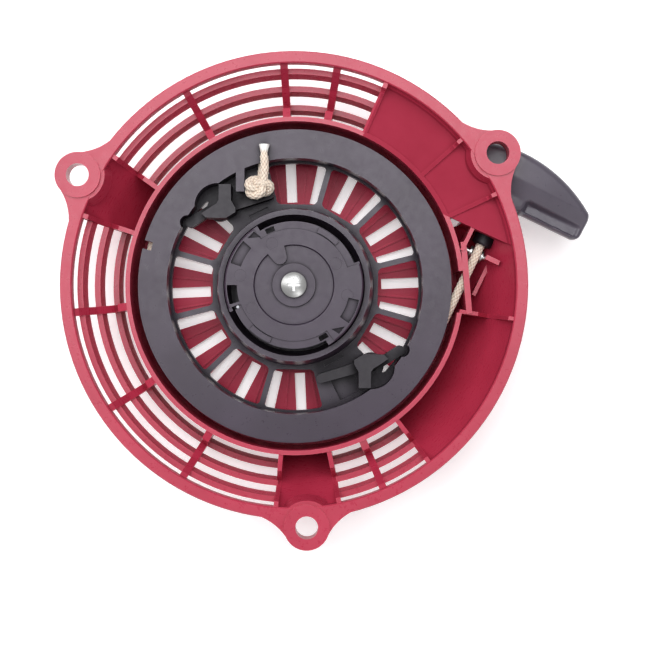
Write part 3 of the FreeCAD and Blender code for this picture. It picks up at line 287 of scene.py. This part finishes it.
def rope_knot():
    """Overhand knot on the reel, with its tail over the rim, pinched and fused at the end."""
    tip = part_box("reel_knot")[1].y + 0.1 * MM
    entry = [Vector((-14.6, 57.0, -20.9)) * MM, Vector((-14.0, 51.0, -20.9)) * MM]
    centre = Vector((-15.6, 42.1, -17.6)) * MM
    loop = overhand(centre, Vector((1.1, 0, 0)), Vector((0, 0.76, 0)), UP, 3.05 * MM, 1.65 * MM)
    tail = [Vector((-13.0, 47.2, -15.2)) * MM, Vector((-12.75, 51.5, -14.6)) * MM,
            Vector((-13.0, 56.0, -14.6)) * MM, Vector((-12.9 * MM, tip, -14.6 * MM))]
    centres, distance = along_curve(entry + loop + tail, BRAID_STEP)
    left = distance[-1] - distance
    melt = np.clip((3.4 * MM - left) / (1.4 * MM), 0, 1)
    flare = 0.2 * np.clip((2.2 * MM - left) / (2.2 * MM), 0, 1)
    pinch = 0.16 * np.exp(-((left - 3.6 * MM) / (1.3 * MM)) ** 2)
    swell = 0.93 + flare - pinch
    knot = rope_mesh("rope_knot", centres, distance, ROPE_RADIUS, swell=swell, fused=melt)
    place_rope(knot, "reel", "reel_knot")


def grip_end_knot():
    """Small knot behind the washer in the grip's well."""
    centre = middle("grip_knot")
    loop = overhand(centre, ACROSS, UP, PULL, 2.15 * MM, 1.15 * MM)
    entry = [on_rope(WELL_FLOOR - 1.1 * MM), on_rope(WELL_FLOOR + 2.1 * MM)]
    tail = [centre + PULL * 3.4 * MM + ACROSS * 1.2 * MM]
    centres, distance = along_curve(entry + loop + tail, BRAID_STEP)
    slim = np.where(distance < 5 * MM, 0.96, 0.9)
    melt = np.clip((1.6 * MM - (distance[-1] - distance)) / (0.8 * MM), 0, 1)
    knot = rope_mesh("grip_end_knot", centres, distance, ROPE_RADIUS, swell=slim, fused=melt)
    place_rope(knot, "grip", "grip_knot")


# ---------------------------------------------------------------- pull grip

# Along the rope: near edge, ends of the crowned far edge, ridge and the finger hollow's edge.
GRIP_NEAR = 69.7 * MM
GRIP_FLAT = GRIP_NEAR + 12.5 * MM
GRIP_RIDGE = 82.4 * MM
HOLLOW_EDGE = 76.8 * MM
# Across the rope: half the grip's length, the neck and the hollow's two ends.
GRIP_HALF = 36.6 * MM
NECK_HALF = 7.4 * MM
HOLLOW_START = 8.2 * MM
HOLLOW_END = 35.0 * MM
# Radii and half thicknesses.
GRIP_CROWN = 64.5 * MM
GRIP_CORNER = 3.9 * MM
GRIP_TIP = 1.6 * MM
GRIP_MIDDLE = 9.15 * MM
HOLLOW_WEB = 1.9 * MM
WELL_RADIUS = 6.4 * MM
ROPE_HOLE_RADIUS = 2.35 * MM


def smooth(value, low, high):
    """0 below low, 1 above high, eased between."""
    t = np.clip((value - low) / (high - low), 0, 1)
    return t * t * (3 - 2 * t)


def grip_span(across):
    """Near and far edges of the grip along the rope, at a distance across it."""
    crown_foot = math.sqrt(GRIP_CROWN ** 2 - GRIP_HALF ** 2)
    far = GRIP_FLAT + np.sqrt(GRIP_CROWN ** 2 - across ** 2) - crown_foot
    turned = np.clip((np.abs(across) - GRIP_HALF + GRIP_CORNER) / GRIP_CORNER, 0, 1)
    near = GRIP_NEAR + GRIP_CORNER * (1 - np.sqrt(np.clip(1 - turned ** 2, 0, 1)))
    near = near - 8.7 * MM * (1 - smooth(np.abs(across), 5.2 * MM, 9.5 * MM))
    tip = np.clip((np.abs(across) - GRIP_HALF + GRIP_TIP) / GRIP_TIP, 0, 1)
    return near, far - 1.4 * MM * (1 - np.sqrt(np.clip(1 - tip ** 2, 0, 1)))


def grip_thickness(along, across, near, far):
    """Half the grip's thickness at a point of its outline."""
    spread = np.abs(across)
    body = GRIP_MIDDLE - 4.6 * MM * (spread / GRIP_HALF) ** 1.25
    body = body - 2.2 * MM * np.clip((GRIP_RIDGE - along) / (7.0 * MM), 0, 1)
    hollow = (smooth(spread, HOLLOW_START, HOLLOW_START + 2.6 * MM)
              * (1 - smooth(spread, HOLLOW_END - 1.8 * MM, HOLLOW_END))
              * (1 - smooth(along, HOLLOW_EDGE - 2.1 * MM, HOLLOW_EDGE)))
    lip = 1 - smooth(along - near, 1.1 * MM, 1.9 * MM)
    body = body + (HOLLOW_WEB * (1 + lip) - body) * hollow
    in_neck = 1 - smooth(along, GRIP_NEAR - 2.5 * MM, GRIP_NEAR + 1.5 * MM)
    round_neck = np.sqrt(np.clip(1 - (spread / NECK_HALF) ** 2, 0.0, 1)) * 6.9 * MM
    body = body + (np.minimum(body, round_neck) - body) * in_neck
    for edge, radius in ((far - along, 3.0 * MM), (along - near, 1.1 * MM),
                         (GRIP_HALF - spread, GRIP_TIP)):
        inside = np.clip(edge / radius, 0, 1)
        limit = np.minimum(radius, body * 0.9)
        body = body - limit * (1 - np.sqrt(np.clip(1 - (1 - inside) ** 2, 0, 1)))
    return np.maximum(body, 0.25 * MM)


def pull_grip():
    """T-shaped grip: tapered ends, a ridge along it, finger hollows and a round neck."""
    # Rows crowd towards the two ends, and columns towards the near and far edges.
    rows, columns = 168, 58
    crowded = np.sin(np.linspace(-math.pi / 2, math.pi / 2, rows))
    across = crowded * 0.35 + np.linspace(-1, 1, rows) * 0.65
    across = across * GRIP_HALF * 0.999
    share = 0.5 - 0.5 * np.cos(np.linspace(0, math.pi, columns))
    share = share * 0.5 + np.linspace(0, 1, columns) * 0.5
    near, far = grip_span(across)
    along = near[:, None] + (far - near)[:, None] * share[None, :]
    spread = np.broadcast_to(across[:, None], along.shape)
    half = grip_thickness(along, spread, near[:, None], far[:, None])
    points, faces = [], []
    for sign in (1, -1):
        for r in range(rows):
            for c in range(columns):
                points.append(on_rope(along[r, c], spread[r, c], sign * half[r, c]))

    def index(side, r, c):
        return side * rows * columns + r * columns + c

    for r in range(rows - 1):
        for c in range(columns - 1):
            top = [index(0, r, c), index(0, r + 1, c), index(0, r + 1, c + 1), index(0, r, c + 1)]
            faces.append(top[::-1])
            faces.append([k + rows * columns for k in top])
    for r in range(rows - 1):
        for c in (0, columns - 1):
            faces.append([index(0, r, c), index(1, r, c), index(1, r + 1, c), index(0, r + 1, c)])
    for c in range(columns - 1):
        for r in (0, rows - 1):
            faces.append([index(0, r, c), index(0, r, c + 1), index(1, r, c + 1), index(1, r, c)])
    mesh = bpy.data.meshes.new("pull_handle")
    mesh.from_pydata(points, [], faces)
    form = bmesh.new()
    form.from_mesh(mesh)
    bmesh.ops.recalc_face_normals(form, faces=form.faces)
    form.to_mesh(mesh)
    form.free()
    grip = bpy.data.objects.new("pull_handle", mesh)
    bpy.context.scene.collection.objects.link(grip)
    bore(grip, WELL_FLOOR, 99 * MM, WELL_RADIUS)
    bore(grip, 55 * MM, 90 * MM, ROPE_HOLE_RADIUS)
    grip.data.polygons.foreach_set("use_smooth", [True] * len(grip.data.polygons))
    mark_sharp(grip.data, math.radians(42))
    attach(finish_piece(grip, "grip_plastic"), "grip")
    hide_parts("pull_grip")


def bore(piece, start, end, radius):
    """Cut a round hole along the rope through a piece."""
    ring = 48
    form = bmesh.new()
    ends = []
    for along in (start, end):
        ends.append([form.verts.new(on_rope(along, radius * math.cos(a), radius * math.sin(a)))
                     for a in np.linspace(0, 2 * math.pi, ring, endpoint=False)])
    for k in range(ring):
        form.faces.new((ends[0][k], ends[0][(k + 1) % ring], ends[1][(k + 1) % ring], ends[1][k]))
    form.faces.new(ends[0][::-1])
    form.faces.new(ends[1])
    bmesh.ops.recalc_face_normals(form, faces=form.faces)
    tool_mesh = bpy.data.meshes.new("bore")
    form.to_mesh(tool_mesh)
    form.free()
    tool = bpy.data.objects.new("bore", tool_mesh)
    bpy.context.scene.collection.objects.link(tool)
    cut = piece.modifiers.new("bore", "BOOLEAN")
    cut.object = tool
    cut.operation = "DIFFERENCE"
    cut.solver = "EXACT"
    bpy.context.view_layer.update()
    graph = bpy.context.evaluated_depsgraph_get()
    result = bpy.data.meshes.new_from_object(piece.evaluated_get(graph))
    piece.modifiers.clear()
    piece.data = result
    bpy.data.objects.remove(tool)


def mark_sharp(mesh, angle):
    """Keep edges steeper than the angle crisp."""
    form = bmesh.new()
    form.from_mesh(mesh)
    for edge in form.edges:
        if len(edge.link_faces) == 2 and edge.calc_face_angle(0) > angle:
            edge.smooth = False
    form.to_mesh(mesh)
    form.free()


# ---------------------------------------------------------------- materials

class Nodes:
    """Short hand for building one material's node tree."""

    def __init__(self, name):
        self.material = bpy.data.materials.new(name)
        self.material.use_nodes = True
        self.tree = self.material.node_tree
        self.shader = self.tree.nodes["Principled BSDF"]
        self.place = self.tree.nodes.new("ShaderNodeTexCoord").outputs["Object"]

    def node(self, kind, **inputs):
        made = self.tree.nodes.new(kind)
        for key, given in inputs.items():
            self.feed(made.inputs[key.replace("_", " ")], given)
        return made

    def feed(self, socket, given):
        if isinstance(given, bpy.types.NodeSocket):
            self.tree.links.new(given, socket)
        else:
            socket.default_value = given

    def noise(self, scale, detail=4.0, roughness=0.55, place=None):
        return self.node("ShaderNodeTexNoise", Vector=place or self.place, Scale=scale,
                         Detail=detail, Roughness=roughness).outputs["Fac"]

    def span(self, factor, low, high, start=0.0, end=1.0):
        """Map a factor from one range to another."""
        made = self.tree.nodes.new("ShaderNodeMapRange")
        for index, given in enumerate((factor, start, end, low, high)):
            self.feed(made.inputs[index], given)
        return made.outputs[0]

    def mix(self, factor, first, second, blend="MIX"):
        made = self.tree.nodes.new("ShaderNodeMix")
        made.data_type = "RGBA"
        made.blend_type = blend
        self.feed(made.inputs[0], factor)
        for index, given in ((6, first), (7, second)):
            given = (*given, 1) if isinstance(given, tuple) and len(given) == 3 else given
            self.feed(made.inputs[index], given)
        return made.outputs[2]

    def maths(self, operation, first, second=0.0):
        made = self.tree.nodes.new("ShaderNodeMath")
        made.operation = operation
        self.feed(made.inputs[0], first)
        self.feed(made.inputs[1], second)
        return made.outputs[0]

    def bump(self, height, strength, distance):
        made = self.node("ShaderNodeBump", Height=height, Strength=strength, Distance=distance)
        return made.outputs["Normal"]

    def edges(self, radius):
        """1 on convex edges, fading to 0, from the surface's bevelled normal."""
        bevel = self.node("ShaderNodeBevel", Radius=radius)
        flat = self.tree.nodes.new("ShaderNodeNewGeometry").outputs["Normal"]
        dot = self.tree.nodes.new("ShaderNodeVectorMath")
        dot.operation = "DOT_PRODUCT"
        self.feed(dot.inputs[0], bevel.outputs["Normal"])
        self.feed(dot.inputs[1], flat)
        return self.span(dot.outputs["Value"], 1.0, 0.0, 0.8, 1.0)

    def below(self, level):
        """1 below a level, else 0."""
        z = self.node("ShaderNodeSeparateXYZ", Vector=self.place).outputs["Z"]
        return self.maths("LESS_THAN", z, level)

    def shelf(self, slope, start, low, high):
        """1 where y is below slope times x, beyond start along the rope, between two levels."""
        x, y, z = self.node("ShaderNodeSeparateXYZ", Vector=self.place).outputs
        ahead = self.maths("ADD", self.maths("MULTIPLY", x, PULL.x),
                           self.maths("MULTIPLY", y, PULL.y))
        tests = (self.maths("GREATER_THAN", self.maths("MULTIPLY", x, slope), y),
                 self.maths("GREATER_THAN", ahead, start), self.maths("GREATER_THAN", z, low),
                 self.maths("LESS_THAN", z, high))
        inside = tests[0]
        for test in tests[1:]:
            inside = self.maths("MULTIPLY", inside, test)
        return inside

    def attribute(self, name):
        """A value stored at a mesh's points."""
        made = self.tree.nodes.new("ShaderNodeAttribute")
        made.attribute_name = name
        return made.outputs["Fac"]

    def finish(self, **inputs):
        for key, given in inputs.items():
            self.feed(self.shader.inputs[key.replace("_", " ")], given)
        return self.material


def moulded_plastic(name, dark, light, roughness, recess_shade=0.0, shaded_shelf=None):
    """Moulded plastic: mottling, flow marks, grain, rubbed edges, painted shade in recesses, and a
    rougher shelf with painted shade.
    """
    made = Nodes(name)
    shelf_shade_mask = made.shelf(*shaded_shelf) if shaded_shelf else 0.0
    deep = made.below(PLATE_LEVEL) if shaded_shelf else 0.0
    # Painted shade: colour is darkened and sheen lowered where ambient occlusion finds recesses,
    # corners and gaps between parts.
    occlusion = made.node("ShaderNodeAmbientOcclusion", Distance=8 * MM).outputs["AO"]
    recess_shading = made.span(occlusion, 1.0 - recess_shade, 1.0, 0.5, 0.88)
    mottle = made.noise(38.0, 5.0, 0.6)
    stretched = made.node("ShaderNodeMapping", Vector=made.place, Scale=(60.0, 60.0, 260.0))
    scuffs = made.noise(6.0, 8.0, 0.72, stretched.outputs["Vector"])
    colour = made.mix(made.span(mottle, 0.0, 1.0, 0.32, 0.7), (*dark, 1), (*light, 1))
    worn = tuple(min(1.0, c * 1.7 + 0.03) for c in light)
    rub = made.maths("MULTIPLY", made.edges(0.5 * MM), made.span(scuffs, 0.0, 0.8, 0.35, 0.75))
    colour = made.mix(rub, colour, (*worn, 1))
    colour = made.mix(1.0, colour, recess_shading, "MULTIPLY")
    # Painted shade: the shelf beside the rope's exit is darkened to 74 per cent; below, it is also
    # made rougher with less sheen.
    colour = made.mix(1.0, colour, made.span(shelf_shade_mask, 1.0, 0.74), "MULTIPLY")
    rough = made.span(scuffs, roughness - 0.08, roughness + 0.1, 0.3, 0.7)
    height = made.mix(0.35, made.noise(2600.0, 2.0), scuffs)
    rough = made.maths("ADD", rough, made.maths("MULTIPLY", shelf_shade_mask, 0.35))
    sheen = made.maths("MULTIPLY", made.span(made.maths("MAXIMUM", shelf_shade_mask, deep), 0.45, 0.12), recess_shading)
    return made.finish(Base_Color=colour, Roughness=rough, Specular_IOR_Level=sheen,
                       Normal=made.bump(height, 0.18, 0.12 * MM))


def plated_steel(name, colour, roughness):
    """Zinc-plated steel: fine turned marks and slight cloudiness."""
    made = Nodes(name)
    cloud = made.noise(420.0, 6.0, 0.7)
    fine = made.noise(5200.0, 2.0)
    tint = made.mix(made.span(cloud, 0.0, 1.0, 0.3, 0.7), (*colour, 1),
                    (*(c * 0.72 for c in colour), 1))
    return made.finish(Base_Color=tint, Metallic=1.0,
                       Roughness=made.span(cloud, roughness, roughness + 0.16, 0.3, 0.7),
                       Normal=made.bump(fine, 0.12, 0.05 * MM))


def braided_fibre(name):
    """Beige polyester yarn: fine threads, soft sheen, a little soiling and painted shade in the
    valleys between strands.
    """
    made = Nodes(name)
    soil = made.noise(240.0, 5.0, 0.65)
    thread = made.noise(5200.0, 3.0, 0.6)
    yarn, soiled = (0.84, 0.73, 0.6), (0.7, 0.57, 0.46)
    bright, valley_shade, melted = (0.93, 0.87, 0.77), (0.34, 0.22, 0.16), (0.88, 0.87, 0.84)
    colour = made.mix(made.span(soil, 0.0, 1.0, 0.35, 0.75), yarn, soiled)
    colour = made.mix(made.span(thread, 0.0, 0.45, 0.45, 0.8), colour, bright)
    # Painted shade: colour darkens in the valleys between the braid's strands, following the crown
    # attribute.
    colour = made.mix(made.span(made.attribute("crown"), 1.0, 0.0, 0.15, 0.72), colour, valley_shade)
    colour = made.mix(made.attribute("fused"), colour, melted)
    return made.finish(Base_Color=colour, Roughness=0.78, Sheen_Weight=0.35,
                       Subsurface_Weight=0.08, Subsurface_Radius=(0.6 * MM, 0.4 * MM, 0.3 * MM),
                       Normal=made.bump(thread, 0.5, 0.12 * MM))


# Darker and lighter tone of each moulded plastic.
RED = ((0.38, 0.024, 0.054), (0.44, 0.032, 0.068))
BLACK = ((0.013, 0.009, 0.014), (0.021, 0.016, 0.023))
CHARCOAL = ((0.026, 0.015, 0.029), (0.038, 0.024, 0.043))
GREY = ((0.062, 0.052, 0.07), (0.084, 0.072, 0.095))
# Shelf beside the rope's exit, darkened with painted shade and made rougher with less sheen:
# slope, start along the rope, and its two levels.
SHADED_SHELF = (2.2, 55.0 * MM, -17.6 * MM, -7.4 * MM)

FINISHES = {
    "red_plastic": moulded_plastic("red_plastic", *RED, 0.3, shaded_shelf=SHADED_SHELF),
    # The last number given to the black, reel and guide plastics sets how strongly painted shade
    # darkens their recesses.
    "black_plastic": moulded_plastic("black_plastic", *BLACK, 0.5, recess_shade=0.7),
    "reel_plastic": moulded_plastic("reel_plastic", *CHARCOAL, 0.32, recess_shade=0.65),
    "guide_plastic": moulded_plastic("guide_plastic", *CHARCOAL, 0.36, recess_shade=0.65),
    "grip_plastic": moulded_plastic("grip_plastic", *GREY, 0.33),
    "zinc_steel": plated_steel("zinc_steel", (0.62, 0.62, 0.61), 0.3),
    "spring_steel": plated_steel("spring_steel", (0.28, 0.28, 0.3), 0.34),
    "rope_fibre": braided_fibre("rope_fibre"),
}


def finish_piece(piece, slot):
    """Give a piece the finish of a record slot."""
    piece.data.materials.clear()
    piece.data.materials.append(FINISHES[slot])
    return piece


# Width of the rounded edges in millimetres, and the nodes where it differs.
EDGE_WIDTH = 0.3
EDGE_WIDTHS = {"recoil_case": 0.45, "rope_reel": 0.4, "pull_grip": 1.0, "setting_screw": 0.15,
               "rope_guide_bush": 0.8, "friction_spring": 0.0, "recoil_spring": 0.0,
               "rope_run": 0.0, "rope_lead": 0.0}


def finish_cad_nodes():
    """Every CAD node gets its slot's finish and softened edges."""
    slots = {s["node"]: s["material_slot"] for s in frame["record"]["subparts"]}
    for name, node in frame["nodes"].items():
        for place in node.material_slots:
            place.material = FINISHES[slots[name]]
        if not node.material_slots:
            node.data.materials.append(FINISHES[slots[name]])
        soften(node, EDGE_WIDTHS.get(name, EDGE_WIDTH) * MM)


def soften(piece, width):
    """Round the sharp edges and keep flat faces flat."""
    if width <= 0:
        return
    bevel = piece.modifiers.new("soft_edges", "BEVEL")
    bevel.width = width
    bevel.segments = 2
    bevel.limit_method = "ANGLE"
    bevel.angle_limit = math.radians(38)
    bevel.use_clamp_overlap = True
    bevel.harden_normals = True


# ---------------------------------------------------------------- studio

def camera():
    """Straight down on the engine side, as far away as the perspective asks."""
    view = bpy.data.cameras.new("camera")
    view.lens = 82.7
    view.sensor_width = 36.0
    holder = bpy.data.objects.new("camera", view)
    holder.location = (0.0129, -0.0166, 0.620)
    bpy.context.scene.collection.objects.link(holder)
    bpy.context.scene.camera = holder


def area_light(name, place, aim, size, power, colour=(1, 1, 1)):
    """Rectangular lamp that faces a point."""
    lamp = bpy.data.lights.new(name, "AREA")
    lamp.shape = "RECTANGLE"
    lamp.size, lamp.size_y = size
    lamp.energy = power
    lamp.color = colour
    holder = bpy.data.objects.new(name, lamp)
    holder.location = place
    holder.rotation_euler = (Vector(aim) - Vector(place)).to_track_quat("-Z", "Y").to_euler()
    bpy.context.scene.collection.objects.link(holder)


def studio():
    """Pale floor under the case's front, a white room and three soft lights."""
    area_light("softbox", (-0.04, 0.37, 0.95), (-0.02, 0.2, -0.02), (0.95, 0.86), 11.2,
               colour=(0.97, 0.98, 1.0))
    area_light("side", (-0.8, 0.35, 0.6), (0, 0, -0.02), (0.6, 0.6), 2.4)
    area_light("low", (0.35, -0.8, 0.7), (0, 0, -0.02), (0.7, 0.5), 2.0)
    world = bpy.data.worlds.new("room")
    world.use_nodes = True
    background = world.node_tree.nodes["Background"]
    background.inputs["Color"].default_value = (1.0, 1.0, 1.0, 1)
    background.inputs["Strength"].default_value = 0.42
    bpy.context.scene.world = world
    made = Nodes("pale_floor")
    speckle = made.span(made.noise(900.0, 3.0), 0.93, 0.96, 0.4, 0.6)
    made.finish(Base_Color=speckle, Roughness=0.85, Emission_Color=(1, 1, 1, 1),
                Emission_Strength=0.28)
    form = bmesh.new()
    bmesh.ops.create_grid(form, x_segments=8, y_segments=8, size=3.0)
    mesh = bpy.data.meshes.new("floor")
    form.to_mesh(mesh)
    mesh.materials.append(made.material)
    floor = bpy.data.objects.new("floor", mesh)
    floor.location.z = FRONT
    bpy.context.scene.collection.objects.link(floor)


camera()
studio()
finish_cad_nodes()
rope_coil()
rope_through_case()
rope_to_grip()
rope_knot()
grip_end_knot()
pull_grip()
bpy.context.scene.view_settings.view_transform = "Standard"
